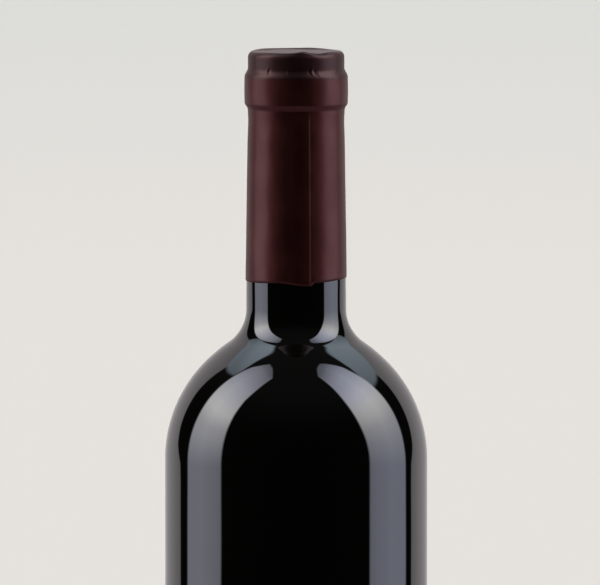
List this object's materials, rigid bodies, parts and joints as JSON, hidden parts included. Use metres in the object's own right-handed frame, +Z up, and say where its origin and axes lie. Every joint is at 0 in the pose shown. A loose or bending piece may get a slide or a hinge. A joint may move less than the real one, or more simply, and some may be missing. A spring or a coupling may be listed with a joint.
{
  "type": "wine bottle",
  "caption": "Shut dark glass wine bottle with upright sides, round shoulders and a plain foil capsule over its neck.",
  "frame": {"origin": "centre of the ring that the bottle stands on, at the floor", "axes": "+Z up along the bottle's axis, -Y towards the front, +X to the right of someone facing the front"},
  "size_m": [0.075, 0.075, 0.3],
  "materials": {
    "glass": "polished, so dark that nothing shows through",
    "foil": "satin dark red lacquer"
  },
  "bodies": {
    "root": {"bottle": "glass", "capsule": "foil"}
  },
  "joints": []
}
